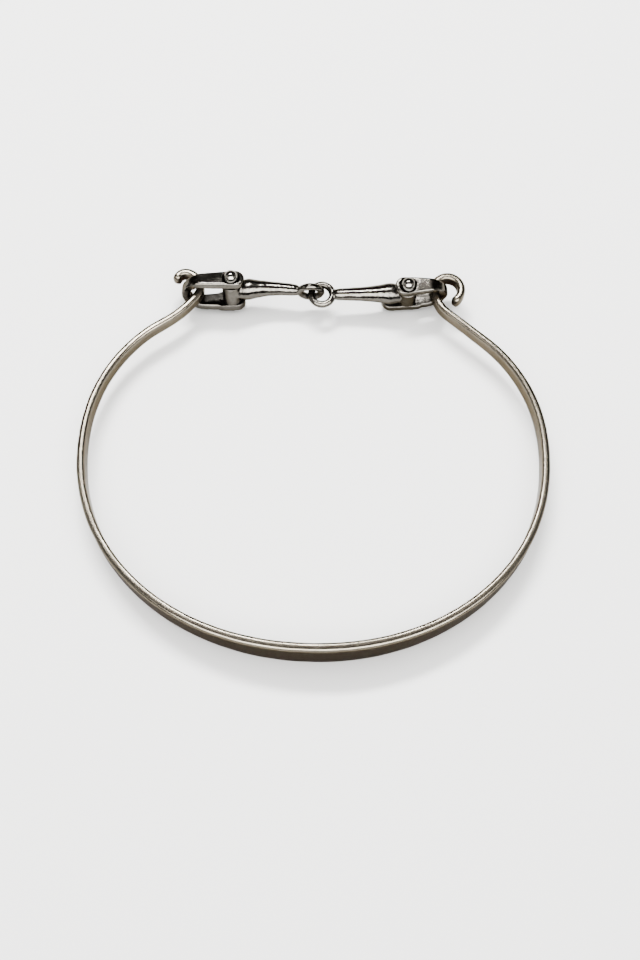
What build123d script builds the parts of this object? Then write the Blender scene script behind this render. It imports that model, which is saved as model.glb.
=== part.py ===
from build123d import *
import os
from math import copysign, cos, pi, radians, sin, sqrt

# A silver bangle closed by a miniature jointed horse bit, lying flat.
# +Z is the wrist's axis, +Y points from the middle of the band to the bit, +X to the hinged side.
# The origin is the centre of the band's oval, on the surface that the bangle lies on. Millimetres.

# ---------------------------------------------------------------- band
HALF_WIDTH = 33.15           # centreline of the oval, from the origin along X
DEPTH_BACK = 28.45           # the same, towards -Y
DEPTH_FRONT = 26.4           # the same, towards +Y, where the oval would close
POWER_BACK = 2.07            # 2 is an ellipse, more is squarer
POWER_FRONT = 2.2
OVAL_TURN = -2.5             # degrees that the hand-bent oval is turned in its plane
OVAL_LEFT_END = 137          # degrees round the oval where its ends flare outwards
OVAL_RIGHT_END = 401

BAND_WIDTH_BACK = 7.0        # along Z, at the middle of the back
BAND_WIDTH_END = 2.1         # along Z, at the tip of each curled end
WIDTH_TAPER_POWER = 1.6
THICKNESS_BACK = 1.3
THICKNESS_SIDES = 1.05
THICKNESS_END = 1.2
CORNER_RADIUS = 0.33
END_CORNER_RADIUS = 0.52
TIP_LENGTH = 0.7             # the curled ends are rounded off over this length
CURL_LENGTH = 17.0           # of each end that is bent tightly
OVAL_STEP = 12               # degrees between the points that the oval's curve is drawn through
LOOP_STEP = 10
TIP_STATIONS = (0, 0.1, 0.25, 0.45, TIP_LENGTH)
CURL_STATIONS = 36           # cross-sections along each curl
BACK_STATIONS = 72           # cross-sections between the curls
REST_FLAT_DEPTH = 0.05       # the lower edge at the back is ground flat by this much
MID_HEIGHT_BACK = BAND_WIDTH_BACK / 2 - REST_FLAT_DEPTH
MID_HEIGHT_FRONT = 4.28      # at the bit, which lies on its two lower pin heads

# centreline of the open hook, from its tip to the band
HOOK_POINTS = (
    (-20.6, 27.75),
    (-20.35, 28.8),
    (-19.4, 29.35),
    (-18.2, 28.95),
    (-17.05, 27.8),
    (-16.75, 26.35),
    (-18.2, 24.3),
    (-20.1, 22.4),
    (-21.9, 21.1),
)
LOOP_FLARE_POINTS = ((20.8, 21.75), (19.1, 23.2))
LOOP_CENTRE = (20.07, 26.33)
LOOP_RADIUS = 2.2            # centreline of the closed loop
LOOP_START = 218             # degrees about the loop's centre, clockwise to its tip
LOOP_END = -72

# ---------------------------------------------------------------- bit
LEFT_PIN = (-12.2, 26.4)
RIGHT_PIN = (14.05, 25.95)
LEFT_BEND = (-19.1, 26.15)   # where each shackle's bend passes through the hook or the loop
RIGHT_BEND = (19.48, 26.2)
LEFT_EYE = (-0.4, 26.25)     # centres of the two interlocked eyes
RIGHT_EYE = (1.27, 25.73)
LEFT_ROLL = 10.0             # each half of the bit leans this far towards +Y
RIGHT_ROLL = -4.0

LEG_SPACING = 5.1            # between the middles of a shackle's two legs
LEG_THICKNESS = 1.25
LEG_WIDTH = 2.8
NECK_WIDTH = 2.2             # a leg's width where the bend begins
BEND_WIDTH = 1.4
LEG_END = 1.95               # from the pin to a leg's rounded end
RIGHT_LOWER_LEG_END = 3.8    # the right shackle's lower leg is longer
STRAP_ROUNDING = 0.3

PIN_RADIUS = 0.6
HEAD_RADIUS = 1.08
HEAD_CENTRE = 3.2            # from the middle plane, along the pin
SEAT_RADIUS = 1.2            # round recess in the leg, which the ball head sits in
SEAT_DEPTH = 0.45
RIVETED_CLEARANCE = 0.01     # radial, pin in a shackle or in its cap
RUNNING_CLEARANCE = 0.05     # radial, pin in a canon
CAP_SOCKET_DEPTH = 0.5

BARREL_RADIUS = 1.45
BARREL_HEIGHT = 3.65
EYE_RADIUS = 1.58            # centreline of a canon's eye
EYE_WIRE_RADIUS = 0.52
LEFT_BOW = 0.42              # the left canon arches this far towards +Y, halfway along
RIGHT_BOW = 0.0
# (share of the way from the pin to the eye's wire, radius) of a canon's bar
BAR_PROFILE = (
    (0.09, 1.36),
    (0.165, 1.47),
    (0.235, 1.58),
    (0.31, 1.48),
    (0.39, 1.31),
    (0.49, 1.17),
    (0.6, 1.07),
    (0.72, 0.99),
    (0.85, 0.92),
    (0.94, 0.83),
    (1.0, 0.42),
)


# ---------------------------------------------------------------- band
def oval_point(angle):
    """Point of the oval's centreline; angle in degrees, 0 near +X, 90 near +Y."""
    c, s = cos(radians(angle)), sin(radians(angle))
    depth = DEPTH_FRONT if s > 0 else DEPTH_BACK
    power = 2 / (POWER_FRONT if s > 0 else POWER_BACK)
    x = copysign(HALF_WIDTH * abs(c) ** power, c)
    y = copysign(depth * abs(s) ** power, s)
    turn = radians(OVAL_TURN)
    return (x * cos(turn) - y * sin(turn), x * sin(turn) + y * cos(turn))


def mid_height(y):
    share = (y + DEPTH_BACK) / (DEPTH_BACK + LOOP_CENTRE[1])
    return MID_HEIGHT_BACK + (MID_HEIGHT_FRONT - MID_HEIGHT_BACK) * share


def band_centreline():
    """One curve from the hook's tip, round the back, to the loop's tip."""
    oval_points = [oval_point(angle) for angle in range(OVAL_LEFT_END, OVAL_RIGHT_END + 1, OVAL_STEP)]
    loop_points = [
        (
            LOOP_CENTRE[0] + LOOP_RADIUS * cos(radians(angle)),
            LOOP_CENTRE[1] + LOOP_RADIUS * sin(radians(angle)),
        )
        for angle in range(LOOP_START, LOOP_END - 1, -LOOP_STEP)
    ]
    with BuildLine():
        centreline = Spline(*HOOK_POINTS, *oval_points, *LOOP_FLARE_POINTS, *loop_points)
    return centreline


def band_section(from_back, to_tip):
    """(width, thickness, corner radius) at a share of the way from the back to a tip."""
    smooth = 0.1
    taper = (sqrt(from_back**2 + smooth**2) - smooth) / (sqrt(1 + smooth**2) - smooth)
    back, end = (1 - taper) ** 2, taper**6
    tip = 0.3 + 0.7 * sqrt(1 - max(0.0, 1 - to_tip / TIP_LENGTH) ** 2)
    width = BAND_WIDTH_END + (BAND_WIDTH_BACK - BAND_WIDTH_END) * (1 - taper) ** WIDTH_TAPER_POWER
    thickness = THICKNESS_SIDES
    thickness += (THICKNESS_BACK - THICKNESS_SIDES) * back
    thickness += (THICKNESS_END - THICKNESS_SIDES) * end
    corner = CORNER_RADIUS + (END_CORNER_RADIUS - CORNER_RADIUS) * end
    return width * tip, thickness * tip, corner * tip


with BuildPart() as bangle_band:
    centreline = band_centreline()
    length = centreline.length
    curl_step = CURL_LENGTH / CURL_STATIONS
    one_end = [*TIP_STATIONS]
    one_end += [TIP_LENGTH + curl_step * step for step in range(1, CURL_STATIONS + 1)]
    back_step = (length - 2 * one_end[-1]) / BACK_STATIONS
    stations = [*one_end]
    stations += [one_end[-1] + back_step * step for step in range(1, BACK_STATIONS)]
    stations += [length - station for station in reversed(one_end)]
    for station in stations:
        from_back = abs(2 * station / length - 1)
        to_tip = min(station, length - station)
        width, thickness, corner = band_section(from_back, to_tip)
        point = centreline @ (station / length)
        section_plane = Plane(
            origin=(point.X, point.Y, mid_height(point.Y)),
            x_dir=(0, 0, 1),
            z_dir=centreline % (station / length),
        )
        with BuildSketch(section_plane):
            RectangleRounded(width, thickness, corner)
    loft(ruled=True)
    with BuildSketch(Plane.XY):
        Rectangle(3 * HALF_WIDTH, 3 * HALF_WIDTH)
    extrude(amount=-5, mode=Mode.SUBTRACT)


# ---------------------------------------------------------------- bit
def pin_plane(pin, aim, roll):
    """Plane at a pin's middle: Z along the pin, X level with the aim point."""
    origin = Vector(*pin, MID_HEIGHT_FRONT)
    forward = (Vector(*aim, MID_HEIGHT_FRONT) - origin).normalized()
    lean = Vector(0, sin(radians(roll)), cos(radians(roll)))
    axis = (lean - forward * lean.dot(forward)).normalized()
    return Plane(origin=origin, x_dir=forward, z_dir=axis)


def distance_to(pin, aim):
    return (Vector(*aim) - Vector(*pin)).length


def side_outline(straight, spread):
    """Closed U seen from the side: two straight legs joined by a half circle."""
    with BuildLine() as outline:
        Polyline(
            (straight, -spread), (-2 * LEG_WIDTH, -spread), (-2 * LEG_WIDTH, spread), (straight, spread)
        )
        CenterArc((straight, 0), spread, -90, 180)
    return outline.line


def build_shackle(plane, reach, lower_end):
    """U-shaped strap with holes for its pin; reach is from the pin to the bend."""
    straight = reach - LEG_SPACING / 2
    side_plane = Plane(origin=plane.origin, x_dir=plane.x_dir, z_dir=-plane.y_dir)
    with BuildPart() as shackle:
        with BuildSketch(side_plane):
            make_face(side_outline(straight, (LEG_SPACING + LEG_THICKNESS) / 2))
            make_face(side_outline(straight, (LEG_SPACING - LEG_THICKNESS) / 2), mode=Mode.SUBTRACT)
        extrude(amount=LEG_WIDTH, both=True)
        with BuildSketch(plane.offset(-LEG_SPACING)):
            with Locations((LEG_WIDTH / 2 - LEG_END, 0)):
                Circle(LEG_WIDTH / 2)
            with Locations((straight, 0)):
                Circle(NECK_WIDTH / 2)
            with Locations((reach + BEND_WIDTH / 4, 0)):
                Circle(BEND_WIDTH / 2)
            make_hull()
        extrude(amount=2 * LEG_SPACING, mode=Mode.INTERSECT)
        fillet(shackle.edges(), STRAP_ROUNDING)
        with BuildSketch(plane.offset((LEG_THICKNESS - LEG_SPACING) / 2)):
            with Locations((LEG_WIDTH / 2 - lower_end, 0), (LEG_WIDTH / 2, 0)):
                Circle(LEG_WIDTH / 2)
            make_hull()
        extrude(amount=-LEG_THICKNESS)
        with BuildSketch(plane.offset(-LEG_SPACING)):
            Circle(PIN_RADIUS + RIVETED_CLEARANCE)
        extrude(amount=2 * LEG_SPACING, mode=Mode.SUBTRACT)
        for side in (1, -1):
            seat_height = (LEG_SPACING + LEG_THICKNESS) / 2 - SEAT_DEPTH
            with BuildSketch(plane.offset(side * seat_height)):
                Circle(SEAT_RADIUS)
            extrude(amount=side * 2 * SEAT_DEPTH, mode=Mode.SUBTRACT)
    return shackle


def build_pin(plane):
    """Rivet: a shaft with one ball head, flat underneath where it meets the seat."""
    seat_height = (LEG_SPACING + LEG_THICKNESS) / 2 - SEAT_DEPTH
    with BuildPart() as pin:
        with Locations(plane.offset(HEAD_CENTRE)):
            Sphere(HEAD_RADIUS)
        with BuildSketch(plane.offset(seat_height)):
            Circle(2 * HEAD_RADIUS)
        extrude(amount=-2 * HEAD_RADIUS, mode=Mode.SUBTRACT)
        with BuildSketch(plane.offset(-seat_height - CAP_SOCKET_DEPTH)):
            Circle(PIN_RADIUS)
        extrude(amount=2 * seat_height + CAP_SOCKET_DEPTH)
    return pin


def build_pin_cap(plane):
    """Ball head that is closed over the pin's far end."""
    seat_height = (LEG_SPACING + LEG_THICKNESS) / 2 - SEAT_DEPTH
    with BuildPart() as cap:
        with Locations(plane.offset(-HEAD_CENTRE)):
            Sphere(HEAD_RADIUS)
        with BuildSketch(plane.offset(-seat_height)):
            Circle(2 * HEAD_RADIUS)
        extrude(amount=2 * HEAD_RADIUS, mode=Mode.SUBTRACT)
        with BuildSketch(plane.offset(-seat_height)):
            Circle(PIN_RADIUS + RIVETED_CLEARANCE)
        extrude(amount=-CAP_SOCKET_DEPTH - RIVETED_CLEARANCE, mode=Mode.SUBTRACT)
    return cap


def build_canon(plane, eye_distance, eye_normal, bow):
    """Half of the mouthpiece: a barrel on the pin, a horn-shaped bar and an eye."""
    eye_centre = plane.origin + plane.x_dir * eye_distance
    root = eye_distance - EYE_RADIUS
    with BuildPart() as canon:
        for share, radius in BAR_PROFILE:
            arch = bow * sin(pi * share * root / eye_distance)
            centre = plane.origin + plane.x_dir * share * root + Vector(0, arch, 0)
            with BuildSketch(Plane(origin=centre, z_dir=plane.x_dir)):
                Circle(radius)
        loft()
        with BuildSketch(plane.offset(-BARREL_HEIGHT / 2)):
            Circle(BARREL_RADIUS)
        extrude(amount=BARREL_HEIGHT)
        with Locations(Plane(origin=eye_centre, x_dir=plane.x_dir, z_dir=eye_normal)):
            Torus(EYE_RADIUS, EYE_WIRE_RADIUS)
        with BuildSketch(plane.offset(-BARREL_HEIGHT)):
            Circle(PIN_RADIUS + RUNNING_CLEARANCE)
        extrude(amount=2 * BARREL_HEIGHT, mode=Mode.SUBTRACT)
    return canon


left_pin_plane = pin_plane(LEFT_PIN, LEFT_EYE, LEFT_ROLL)
right_pin_plane = pin_plane(RIGHT_PIN, RIGHT_EYE, RIGHT_ROLL)
left_shackle_plane = Plane(
    origin=left_pin_plane.origin,
    x_dir=Vector(*LEFT_BEND) - Vector(*LEFT_PIN),
    z_dir=left_pin_plane.z_dir,
)
right_shackle_plane = Plane(
    origin=right_pin_plane.origin,
    x_dir=Vector(*RIGHT_BEND) - Vector(*RIGHT_PIN),
    z_dir=right_pin_plane.z_dir,
)
upright_eye_normal = left_pin_plane.x_dir.cross(Vector(0, 0, 1))

left_shackle = build_shackle(left_shackle_plane, distance_to(LEFT_PIN, LEFT_BEND), LEG_END)
right_shackle = build_shackle(
    right_shackle_plane, distance_to(RIGHT_PIN, RIGHT_BEND), RIGHT_LOWER_LEG_END
)
left_canon = build_canon(
    left_pin_plane, distance_to(LEFT_PIN, LEFT_EYE), upright_eye_normal, LEFT_BOW
)
right_canon = build_canon(
    right_pin_plane, distance_to(RIGHT_PIN, RIGHT_EYE), right_pin_plane.z_dir, RIGHT_BOW
)
left_pin = build_pin(left_pin_plane)
right_pin = build_pin(right_pin_plane)
left_pin_cap = build_pin_cap(left_pin_plane)
right_pin_cap = build_pin_cap(right_pin_plane)

# ---------------------------------------------------------------- files
os.makedirs("parts", exist_ok=True)
bangle_band.part.label = "bangle_band"
export_step(bangle_band.part, "parts/bangle_band.step")
left_shackle.part.label = "left_shackle"
export_step(left_shackle.part, "parts/left_shackle.step")
right_shackle.part.label = "right_shackle"
export_step(right_shackle.part, "parts/right_shackle.step")
left_canon.part.label = "left_canon"
export_step(left_canon.part, "parts/left_canon.step")
right_canon.part.label = "right_canon"
export_step(right_canon.part, "parts/right_canon.step")
left_pin.part.label = "left_pin"
export_step(left_pin.part, "parts/left_pin.step")
right_pin.part.label = "right_pin"
export_step(right_pin.part, "parts/right_pin.step")
left_pin_cap.part.label = "left_pin_cap"
export_step(left_pin_cap.part, "parts/left_pin_cap.step")
right_pin_cap.part.label = "right_pin_cap"
export_step(right_pin_cap.part, "parts/right_pin_cap.step")
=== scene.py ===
from math import copysign, cos, pi, radians, sin, sqrt

import bmesh
import bpy
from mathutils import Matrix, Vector, noise


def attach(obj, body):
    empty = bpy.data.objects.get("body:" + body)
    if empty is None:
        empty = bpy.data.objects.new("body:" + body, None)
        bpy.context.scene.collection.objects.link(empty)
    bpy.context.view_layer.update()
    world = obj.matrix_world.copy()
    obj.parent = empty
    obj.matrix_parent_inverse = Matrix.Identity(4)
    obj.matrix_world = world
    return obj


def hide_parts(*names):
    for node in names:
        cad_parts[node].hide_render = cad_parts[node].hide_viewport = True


# A silver bangle closed by a small jointed horse bit, lying on white paper.
# Every piece is made in millimetres, or from its CAD node, and stored in metres.

MM = 0.001

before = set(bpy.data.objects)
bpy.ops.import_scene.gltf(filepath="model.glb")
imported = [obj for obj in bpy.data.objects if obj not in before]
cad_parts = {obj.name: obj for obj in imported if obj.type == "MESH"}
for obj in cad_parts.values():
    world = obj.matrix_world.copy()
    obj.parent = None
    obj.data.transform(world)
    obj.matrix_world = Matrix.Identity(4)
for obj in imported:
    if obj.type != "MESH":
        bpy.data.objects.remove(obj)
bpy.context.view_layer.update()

# ---------------------------------------------------------------- camera
TILT = 20.0                     # degrees from straight down, towards the back of the band
CAMERA_DISTANCE = 197 * MM
LOOK_AT = Vector((0.39, -0.645, 0)) * MM
LENS = 50.6
SHIFT = (0.0042, -0.0104)

camera_data = bpy.data.cameras.new("camera")
camera_data.lens = LENS
camera_data.shift_x, camera_data.shift_y = SHIFT
camera = bpy.data.objects.new("camera", camera_data)
away = Vector((0, -sin(radians(TILT)), cos(radians(TILT))))
camera.location = LOOK_AT + CAMERA_DISTANCE * away
camera.rotation_euler = (radians(TILT), 0, 0)
bpy.context.collection.objects.link(camera)
bpy.context.scene.camera = camera


# ---------------------------------------------------------------- floor, lights
FLOOR_SIZE = 3.0                # metres, as are the lights' distances and sizes
FLOOR_DROP = 0.02 * MM          # keeps the paper off the faces that lie on it
WARM_WHITE = (1, 0.98, 0.95)


def make_floor():
    bpy.ops.mesh.primitive_plane_add(size=FLOOR_SIZE, location=(0, 0, -FLOOR_DROP))
    floor = bpy.context.object
    floor.name = "floor"
    material = bpy.data.materials.new("white_paper")
    material.use_nodes = True
    surface = material.node_tree.nodes["Principled BSDF"]
    surface.inputs["Base Color"].default_value = (0.88, 0.875, 0.86, 1)
    surface.inputs["Roughness"].default_value = 0.9
    surface.inputs["Specular IOR Level"].default_value = 0.1
    floor.data.materials.append(material)


def make_softbox(
    name, azimuth, elevation, distance, width, height, radiance,
    colour=(1, 1, 1), mirrored=True, on_paper=True,
):
    """Rectangular light that faces the origin; azimuth 0 is at the back of the band.

    A light that isn't mirrored brightens the paper without showing in the silver, and one
    that isn't on_paper does the opposite.
    """
    data = bpy.data.lights.new(name, "AREA")
    data.shape = "RECTANGLE"
    data.size = width
    data.size_y = height
    data.energy = radiance * pi * width * height
    data.color = colour
    light = bpy.data.objects.new(name, data)
    turn, lift = radians(azimuth), radians(elevation)
    towards = Vector((sin(turn) * cos(lift), -cos(turn) * cos(lift), sin(lift)))
    light.location = towards * distance
    light.rotation_euler = towards.to_track_quat("Z", "Y").to_euler()
    light.visible_glossy = mirrored
    light.visible_diffuse = on_paper
    bpy.context.collection.objects.link(light)


make_floor()
make_softbox("ceiling", 0, 90, 0.9, 1.5, 1.5, 5.5, mirrored=False)
make_softbox("window", 190, 59, 0.5, 0.22, 0.06, 150.0)
make_softbox("sky", 180, 69, 0.8, 0.6, 0.16, 1.6, (1, 0.96, 0.9), on_paper=False)
make_softbox("front", 5, 52, 0.55, 0.8, 0.4, 30.0, (1, 0.99, 0.97), on_paper=False)
make_softbox("left_fill", 275, 28, 0.6, 0.5, 0.16, 3.0, WARM_WHITE)
make_softbox("right_fill", 85, 25, 0.6, 0.4, 0.12, 2.0, WARM_WHITE)

world = bpy.data.worlds.new("room")
world.use_nodes = True
world.node_tree.nodes["Background"].inputs["Color"].default_value = (0.032, 0.03, 0.028, 1)
world.node_tree.nodes["Background"].inputs["Strength"].default_value = 1.0
bpy.context.scene.world = world


# ---------------------------------------------------------------- silver
PATINA_AND_SHADE_REACH = 2.2             # patina and painted shade reach this far from other metal and from the paper
GRAZING_TINT = (0.42, 0.4, 0.37)    # an oxidised face doesn't mirror the paper at a low angle


def make_silver(name, clean, patina_and_shade_colour, roughness, streaks):
    """Silver with patina in its hollows and painted shade where other metal or the paper is
    close by, and darkened on the band's outer face.

    roughness is (clean, darkened); streaks is (along, across) the texture map for a drawn strip,
    or None for a cast piece, whose marks have no direction.
    """
    material = bpy.data.materials.new(name)
    material.use_nodes = True
    nodes, links = material.node_tree.nodes, material.node_tree.links
    surface = nodes["Principled BSDF"]
    surface.inputs["Metallic"].default_value = 1.0
    surface.inputs["Specular Tint"].default_value = (*GRAZING_TINT, 1)

    place = nodes.new("ShaderNodeTexCoord")
    outer_face = nodes.new("ShaderNodeAttribute")
    outer_face.attribute_name = "outer_face"
    closeness = nodes.new("ShaderNodeAmbientOcclusion")
    closeness.samples = 8
    closeness.inputs["Distance"].default_value = PATINA_AND_SHADE_REACH * MM

    def add_noise(scale, detail, source="Object", stretch=(1, 1, 1)):
        mapping = nodes.new("ShaderNodeMapping")
        mapping.inputs["Scale"].default_value = stretch
        links.new(place.outputs[source], mapping.inputs["Vector"])
        texture = nodes.new("ShaderNodeTexNoise")
        texture.inputs["Scale"].default_value = scale
        texture.inputs["Detail"].default_value = detail
        links.new(mapping.outputs["Vector"], texture.inputs["Vector"])
        return texture.outputs["Fac"]

    def compute(operation, first, second):
        node = nodes.new("ShaderNodeMath")
        node.operation = operation
        for socket, value in zip(node.inputs, (first, second)):
            if isinstance(value, (int, float)):
                socket.default_value = value
            else:
                links.new(value, socket)
        return node.outputs[0]

    def remap(value, low, high, to_low, to_high):
        node = nodes.new("ShaderNodeMapRange")
        links.new(value, node.inputs["Value"])
        ends = (low, high, to_low, to_high)
        for socket, end in zip(("From Min", "From Max", "To Min", "To Max"), ends):
            node.inputs[socket].default_value = end
        return node.outputs["Result"]

    mottling = add_noise(700, 6)
    grain = add_noise(5200, 3)
    if streaks:
        marks = add_noise(1.0, 5, "UV", (*streaks, 1))
    else:
        marks = add_noise(2600, 5)
    # Patina in the hollows plus painted shade: darker wherever the AO node finds other metal or
    # the paper close by, so between parts and next to the paper; also darker on the band's outer
    # face.
    patina_and_painted_shade = remap(closeness.outputs["AO"], 0.98, 0.4, 0.1, 1.0)
    patina_and_painted_shade = compute("ADD", patina_and_painted_shade, compute("MULTIPLY", outer_face.outputs["Fac"], 0.98))
    uneven = remap(mottling, 0.3, 0.7, -0.15, 0.15)
    uneven = compute("ADD", uneven, remap(marks, 0.35, 0.65, -0.15, 0.15))
    amount = remap(compute("ADD", patina_and_painted_shade, uneven), 0.0, 1.0, 0.0, 1.0)

    colour = nodes.new("ShaderNodeMix")
    colour.data_type = "RGBA"
    colour.inputs["A"].default_value = (*clean, 1)
    colour.inputs["B"].default_value = (*patina_and_shade_colour, 1)
    links.new(amount, colour.inputs["Factor"])
    links.new(colour.outputs["Result"], surface.inputs["Base Color"])

    shine = compute("ADD", remap(amount, 0, 1, *roughness), remap(grain, 0.3, 0.7, -0.04, 0.04))
    links.new(shine, surface.inputs["Roughness"])

    relief = compute("ADD", compute("MULTIPLY", marks, 0.6), compute("MULTIPLY", grain, 0.25))
    relief = compute("ADD", relief, compute("MULTIPLY", mottling, 0.5))
    bump = nodes.new("ShaderNodeBump")
    bump.inputs["Strength"].default_value = 0.6
    bump.inputs["Distance"].default_value = 0.025 * MM
    links.new(relief, bump.inputs["Height"])
    links.new(bump.outputs["Normal"], surface.inputs["Normal"])
    return material


# One material for each slot of the record: clean colour, colour of patina and painted shade,
# roughness of both, streaks.
silvers = {
    "band_silver": make_silver(
        "drawn_silver", (0.125, 0.11, 0.086), (0.02, 0.0165, 0.0135), (0.2, 0.42), (34, 70)
    ),
    "bit_silver": make_silver(
        "cast_silver", (0.075, 0.07, 0.061), (0.011, 0.01, 0.0095), (0.13, 0.34), None
    ),
    "rivet_silver": make_silver(
        "ball_silver", (0.17, 0.163, 0.148), (0.013, 0.012, 0.011), (0.1, 0.3), None
    ),
}

# ---------------------------------------------------------------- band
HALF_WIDTH = 33.15
DEPTH_BACK = 28.45
DEPTH_FRONT = 26.4
POWER_BACK = 2.07
POWER_FRONT = 2.2
OVAL_TURN = -2.5
OVAL_ANGLES = range(137, 402, 4)
HOOK_POINTS = (
    (-20.6, 27.75),
    (-20.35, 28.8),
    (-19.4, 29.35),
    (-18.2, 28.95),
    (-17.05, 27.8),
    (-16.75, 26.35),
    (-18.2, 24.3),
    (-20.1, 22.4),
    (-21.9, 21.1),
)
LOOP_FLARE_POINTS = ((20.8, 21.75), (19.1, 23.2))
LOOP_CENTRE = (20.07, 26.33)
LOOP_RADIUS = 2.2
LOOP_ANGLES = range(218, -73, -10)
BAND_WIDTH_BACK = 7.0
BAND_WIDTH_END = 2.1
WIDTH_TAPER_POWER = 1.6
THICKNESS_BACK = 1.3
THICKNESS_SIDES = 1.05
THICKNESS_END = 1.2
CORNER_RADIUS = 0.42            # worn rounder than the CAD solid's
END_CORNER_RADIUS = 0.5
TIP_LENGTH = 0.7
MID_HEIGHT_BACK = 3.45
MID_HEIGHT_FRONT = 4.28
STATION_STEP = 0.3              # along the band, between its mesh rings
CORNER_STEPS = 5                # round each corner of its cross-section
FACE_SHARES = (0.75, 0.5, 0.25, 0, -0.25, -0.5, -0.75)
WIDTH_WANDER = 0.012            # share of the width that the strip varies by
THICKNESS_WANDER = 0.04
HAMMER_MARKS = 0.012            # depth of the dents in its faces
RELAX_ROUNDS = 14               # smoothing of the line where the bends meet the oval


def oval_point(angle):
    c, s = cos(radians(angle)), sin(radians(angle))
    depth = DEPTH_FRONT if s > 0 else DEPTH_BACK
    power = 2 / (POWER_FRONT if s > 0 else POWER_BACK)
    x = copysign(HALF_WIDTH * abs(c) ** power, c)
    y = copysign(depth * abs(s) ** power, s)
    turn = radians(OVAL_TURN)
    return (x * cos(turn) - y * sin(turn), x * sin(turn) + y * cos(turn))


def catmull_rom(points, pieces=12):
    """Smooth curve through uneven points."""
    points = [Vector(point) for point in points]
    points = [2 * points[0] - points[1], *points, 2 * points[-1] - points[-2]]
    curve = []
    for p0, p1, p2, p3 in zip(points, points[1:], points[2:], points[3:]):
        t1 = sqrt((p1 - p0).length)
        t2 = t1 + sqrt((p2 - p1).length)
        t3 = t2 + sqrt((p3 - p2).length)
        for piece in range(pieces):
            t = t1 + (t2 - t1) * piece / pieces
            a1 = p0.lerp(p1, t / t1)
            a2 = p1.lerp(p2, (t - t1) / (t2 - t1))
            a3 = p2.lerp(p3, (t - t2) / (t3 - t2))
            b1 = a1.lerp(a2, t / t2)
            b2 = a2.lerp(a3, (t - t1) / (t3 - t1))
            curve.append(b1.lerp(b2, (t - t1) / (t2 - t1)))
    return [*curve, points[-2]]


def even_steps(curve, step):
    """The same curve with points at even distances."""
    distances = [0.0]
    for start, end in zip(curve, curve[1:]):
        distances.append(distances[-1] + (end - start).length)
    count = round(distances[-1] / step)
    even = []
    at = 0
    for k in range(count + 1):
        target = distances[-1] * k / count
        while at < len(curve) - 2 and distances[at + 1] < target:
            at += 1
        share = (target - distances[at]) / (distances[at + 1] - distances[at])
        even.append(curve[at].lerp(curve[at + 1], share))
    return even


def relax(curve, rounds):
    for _ in range(rounds):
        inner = [(a + 2 * b + c) / 4 for a, b, c in zip(curve, curve[1:], curve[2:])]
        curve = [curve[0], *inner, curve[-1]]
    return curve


def band_section(from_back, to_tip):
    """(width, thickness, corner radius) at a share of the way from the back to a tip."""
    smooth = 0.1
    taper = (sqrt(from_back**2 + smooth**2) - smooth) / (sqrt(1 + smooth**2) - smooth)
    tip = 0.3 + 0.7 * sqrt(1 - max(0.0, 1 - to_tip / TIP_LENGTH) ** 2)
    width = BAND_WIDTH_END
    width += (BAND_WIDTH_BACK - BAND_WIDTH_END) * (1 - taper) ** WIDTH_TAPER_POWER
    thickness = THICKNESS_SIDES
    thickness += (THICKNESS_BACK - THICKNESS_SIDES) * (1 - taper) ** 2
    thickness += (THICKNESS_END - THICKNESS_SIDES) * taper**6
    corner = CORNER_RADIUS + (END_CORNER_RADIUS - CORNER_RADIUS) * taper**6
    return width * tip, thickness * tip, corner * tip


def section_outline(width, thickness, corner):
    """(outwards, up) points round a strip: four rounded corners and points along both faces."""
    out, up = thickness / 2 - corner, width / 2 - corner
    outline = []
    for out_side, up_side, first in ((1, 1, 0), (-1, 1, 90), (-1, -1, 180), (1, -1, 270)):
        for step in range(CORNER_STEPS + 1):
            angle = radians(first + 90 * step / CORNER_STEPS)
            round_out, round_up = corner * cos(angle), corner * sin(angle)
            outline.append((out_side * out + round_out, up_side * up + round_up))
        if out_side < 0 < up_side:
            outline += [(-thickness / 2, share * up) for share in FACE_SHARES]
        if up_side < 0 < out_side:
            outline += [(thickness / 2, -share * up) for share in FACE_SHARES]
    return outline


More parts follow.
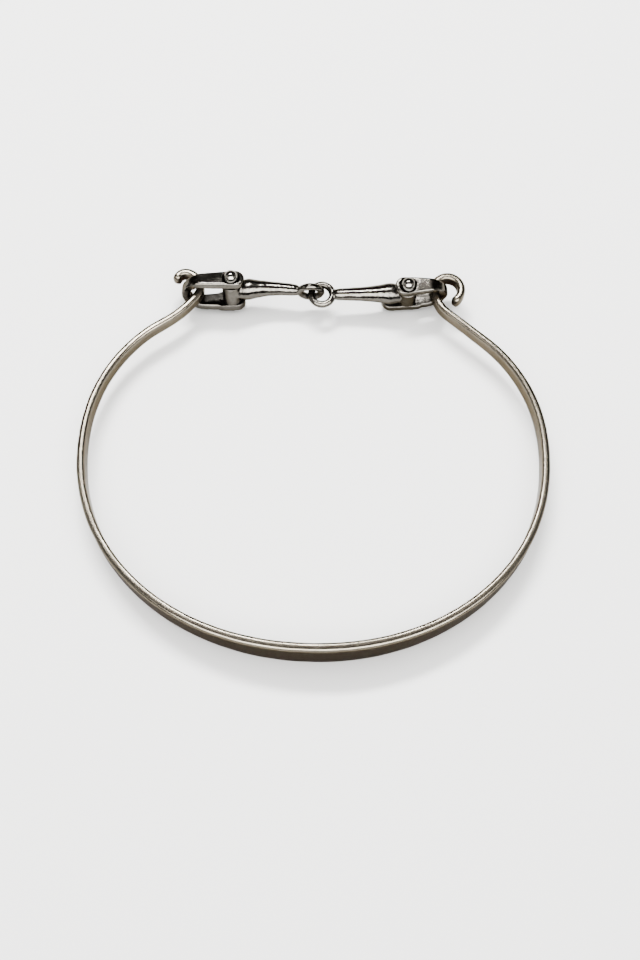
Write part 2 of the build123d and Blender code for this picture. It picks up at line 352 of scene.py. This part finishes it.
def make_band():
    curve = catmull_rom(HOOK_POINTS)[:-1]
    curve += [Vector(oval_point(angle)) for angle in OVAL_ANGLES]
    bend = [oval_point(OVAL_ANGLES[-1]), *LOOP_FLARE_POINTS]
    loop = [
        Vector(LOOP_CENTRE) + LOOP_RADIUS * Vector((cos(radians(angle)), sin(radians(angle))))
        for angle in LOOP_ANGLES
    ]
    curve += catmull_rom([*bend, *loop[:2]])[1:-12]
    curve += loop
    curve = relax(even_steps(curve, STATION_STEP), RELAX_ROUNDS)
    length = STATION_STEP * (len(curve) - 1)

    mesh = bmesh.new()
    texture_map = mesh.loops.layers.uv.new("along_and_around")
    outer = mesh.verts.layers.float.new("outer_face")
    rings = []
    for k, point in enumerate(curve):
        ahead = curve[min(k + 1, len(curve) - 1)] - curve[max(k - 1, 0)]
        outwards = Vector((ahead.y, -ahead.x)).normalized()
        at = STATION_STEP * k
        width, thickness, corner = band_section(abs(2 * at / length - 1), min(at, length - at))
        width *= 1 + WIDTH_WANDER * noise.noise(Vector((at * 0.21, 0, 0)))
        thickness *= 1 + THICKNESS_WANDER * noise.noise(Vector((at * 0.35, 9, 0)))
        share = (point.y + DEPTH_BACK) / (DEPTH_BACK + LOOP_CENTRE[1])
        middle = MID_HEIGHT_BACK + (MID_HEIGHT_FRONT - MID_HEIGHT_BACK) * share
        ring = []
        for out, up in section_outline(width, thickness, corner):
            dent = HAMMER_MARKS * noise.noise(Vector((at * 0.8, up * 0.9, copysign(4, out))))
            place = point + outwards * (out + copysign(dent, out))
            vertex = mesh.verts.new(Vector((place.x, place.y, max(middle + up, 0))) * MM)
            on_outer_face = out > 0.8 * thickness / 2 and abs(up) < width / 2 - corner
            vertex[outer] = 1.0 if on_outer_face else 0.0
            ring.append(vertex)
        rings.append(ring)
    count = len(rings[0])
    for k, (ring, following) in enumerate(zip(rings, rings[1:])):
        for i in range(count):
            j = (i + 1) % count
            face = mesh.faces.new((ring[i], ring[j], following[j], following[i]))
            around = (i / count, (i + 1) / count, (i + 1) / count, i / count)
            along = (k, k, k + 1, k + 1)
            for corner_loop, u, v in zip(face.loops, along, around):
                corner_loop[texture_map].uv = (u / len(rings), v)
    mesh.faces.new(rings[0])
    mesh.faces.new(reversed(rings[-1]))
    bmesh.ops.recalc_face_normals(mesh, faces=mesh.faces)
    return mesh_object("silver_band", mesh)


# ---------------------------------------------------------------- making pieces from meshes
def mesh_object(name, mesh):
    data = bpy.data.meshes.new(name)
    mesh.to_mesh(data)
    mesh.free()
    piece = bpy.data.objects.new(name, data)
    bpy.context.collection.objects.link(piece)
    return piece


def polished_copy(node, name, voxel, rounds, unevenness):
    """The CAD node with its edges worn round and its faces slightly uneven, as filed by hand."""
    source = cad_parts[node]
    piece = bpy.data.objects.new(name, source.data.copy())
    bpy.context.collection.objects.link(piece)
    remesh = piece.modifiers.new("remesh", "REMESH")
    remesh.mode = "VOXEL"
    remesh.voxel_size = voxel * MM
    smooth = piece.modifiers.new("smooth", "SMOOTH")
    smooth.factor = 0.5
    smooth.iterations = rounds
    evaluated = piece.evaluated_get(bpy.context.evaluated_depsgraph_get())
    data = bpy.data.meshes.new_from_object(evaluated)
    piece.modifiers.clear()
    piece.data = data
    normals = [vertex.normal.copy() for vertex in data.vertices]
    for vertex, normal in zip(data.vertices, normals):
        where = vertex.co / MM
        push = noise.noise(where * 0.8) + 0.4 * noise.noise(where * 2.6)
        vertex.co += normal * unevenness * push * MM
    return piece


# ---------------------------------------------------------------- the object
CAST_VOXEL, RIVET_VOXEL = 0.085, 0.06           # remeshing detail
CAST_UNEVENNESS, RIVET_UNEVENNESS = 0.03, 0.012
STRAP_ROUNDS, BAR_ROUNDS, RIVET_ROUNDS = 14, 6, 3   # smoothing: more wears edges rounder


def add_piece(piece, node, body, slot):
    piece.data.materials.clear()
    piece.data.materials.append(silvers[slot])
    piece.data.shade_smooth()
    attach(piece, body)
    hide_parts(node)


add_piece(make_band(), "bangle_band", "band", "band_silver")
for side in ("left", "right"):
    link, bar = side + "_link", side + "_bar"
    cast_pieces = (
        ("shackle", "strap", link, STRAP_ROUNDS),
        ("canon", "mouth_bar", bar, BAR_ROUNDS),
    )
    for node, name, body, rounds in cast_pieces:
        node, name = f"{side}_{node}", f"{side}_{name}"
        piece = polished_copy(node, name, CAST_VOXEL, rounds, CAST_UNEVENNESS)
        add_piece(piece, node, body, "bit_silver")
    for node, name in (("pin", "rivet"), ("pin_cap", "rivet_cap")):
        node, name = f"{side}_{node}", f"{side}_{name}"
        piece = polished_copy(node, name, RIVET_VOXEL, RIVET_ROUNDS, RIVET_UNEVENNESS)
        add_piece(piece, node, link, "rivet_silver")
